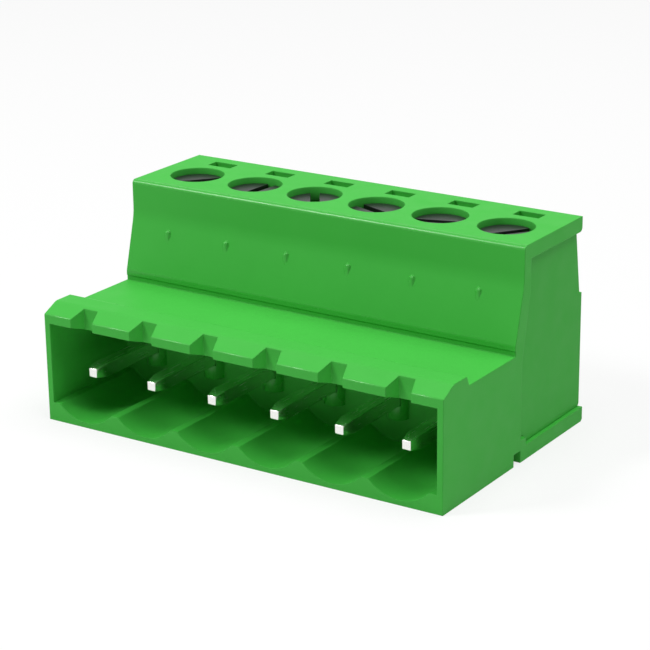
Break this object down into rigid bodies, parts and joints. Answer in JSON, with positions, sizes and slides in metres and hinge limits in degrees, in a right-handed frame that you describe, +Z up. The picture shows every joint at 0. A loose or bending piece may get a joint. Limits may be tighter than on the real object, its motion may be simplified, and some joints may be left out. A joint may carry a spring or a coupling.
{
  "type": "pluggable screw terminal plug",
  "caption": "Green pluggable screw terminal with square male pins in a keyed shroud, rear wire entries and slotted clamping screws.",
  "frame": {"origin": "middle of the underside's bounding rectangle", "axes": "+X along the row of poles, +Y from the mating face with the pins to the wire side, +Z up towards the screw heads"},
  "size_m": [0.032, 0.0192, 0.015],
  "materials": {
    "green_housing": "satin moulded polyamide",
    "green_block": "satin moulded polyamide",
    "tinned_contact": "tin-plated copper alloy, semi-bright",
    "plated_cage": "nickel-plated steel, semi-bright",
    "plated_screw": "zinc-plated steel, semi-bright"
  },
  "bodies": {
    "housing": {"housing": "green_housing", "wire_entry_block": "green_block", "contact_1": "tinned_contact", "contact_2": "tinned_contact", "contact_3": "tinned_contact", "contact_4": "tinned_contact", "contact_5": "tinned_contact", "contact_6": "tinned_contact"},
    "clamp_screw_1": {"clamp_screw_1": "plated_screw"},
    "clamp_cage_1": {"clamp_cage_1": "plated_cage"},
    "clamp_screw_2": {"clamp_screw_2": "plated_screw"},
    "clamp_cage_2": {"clamp_cage_2": "plated_cage"},
    "clamp_screw_3": {"clamp_screw_3": "plated_screw"},
    "clamp_cage_3": {"clamp_cage_3": "plated_cage"},
    "clamp_screw_4": {"clamp_screw_4": "plated_screw"},
    "clamp_cage_4": {"clamp_cage_4": "plated_cage"},
    "clamp_screw_5": {"clamp_screw_5": "plated_screw"},
    "clamp_cage_5": {"clamp_cage_5": "plated_cage"},
    "clamp_screw_6": {"clamp_screw_6": "plated_screw"},
    "clamp_cage_6": {"clamp_cage_6": "plated_cage"}
  },
  "joints": [
    {"name": "cage_lift_1", "type": "slide", "parent": "housing", "child": "clamp_cage_1", "axis": [0, 0, 1], "range_m": [0, 0.00255]},
    {"name": "screw_turn_1", "type": "hinge", "parent": "housing", "child": "clamp_screw_1", "pos_m": [-0.0127, 0.00419, 0.0128], "axis": [0, 0, -1], "range_deg": [0, 1836.02]},
    {"name": "cage_lift_2", "type": "slide", "parent": "housing", "child": "clamp_cage_2", "axis": [0, 0, 1], "range_m": [0, 0.00255]},
    {"name": "screw_turn_2", "type": "hinge", "parent": "housing", "child": "clamp_screw_2", "pos_m": [-0.00762, 0.00419, 0.0128], "axis": [0, 0, -1], "range_deg": [0, 1836.02]},
    {"name": "cage_lift_3", "type": "slide", "parent": "housing", "child": "clamp_cage_3", "axis": [0, 0, 1], "range_m": [0, 0.00255]},
    {"name": "screw_turn_3", "type": "hinge", "parent": "housing", "child": "clamp_screw_3", "pos_m": [-0.00254, 0.00419, 0.0128], "axis": [0, 0, -1], "range_deg": [0, 1836.02]},
    {"name": "cage_lift_4", "type": "slide", "parent": "housing", "child": "clamp_cage_4", "axis": [0, 0, 1], "range_m": [0, 0.00255]},
    {"name": "screw_turn_4", "type": "hinge", "parent": "housing", "child": "clamp_screw_4", "pos_m": [0.00254, 0.00419, 0.0128], "axis": [0, 0, -1], "range_deg": [0, 1836.02]},
    {"name": "cage_lift_5", "type": "slide", "parent": "housing", "child": "clamp_cage_5", "axis": [0, 0, 1], "range_m": [0, 0.00255]},
    {"name": "screw_turn_5", "type": "hinge", "parent": "housing", "child": "clamp_screw_5", "pos_m": [0.00762, 0.00419, 0.0128], "axis": [0, 0, -1], "range_deg": [0, 1836.02]},
    {"name": "cage_lift_6", "type": "slide", "parent": "housing", "child": "clamp_cage_6", "axis": [0, 0, 1], "range_m": [0, 0.00255]},
    {"name": "screw_turn_6", "type": "hinge", "parent": "housing", "child": "clamp_screw_6", "pos_m": [0.0127, 0.00419, 0.0128], "axis": [0, 0, -1], "range_deg": [0, 1836.02]}
  ],
  "couplings": [
    {"joint": "screw_turn_1", "follows": "cage_lift_1", "rad_per_m": 12566},
    {"joint": "screw_turn_2", "follows": "cage_lift_2", "rad_per_m": 12566},
    {"joint": "screw_turn_3", "follows": "cage_lift_3", "rad_per_m": 12566},
    {"joint": "screw_turn_4", "follows": "cage_lift_4", "rad_per_m": 12566},
    {"joint": "screw_turn_5", "follows": "cage_lift_5", "rad_per_m": 12566},
    {"joint": "screw_turn_6", "follows": "cage_lift_6", "rad_per_m": 12566}
  ]
}
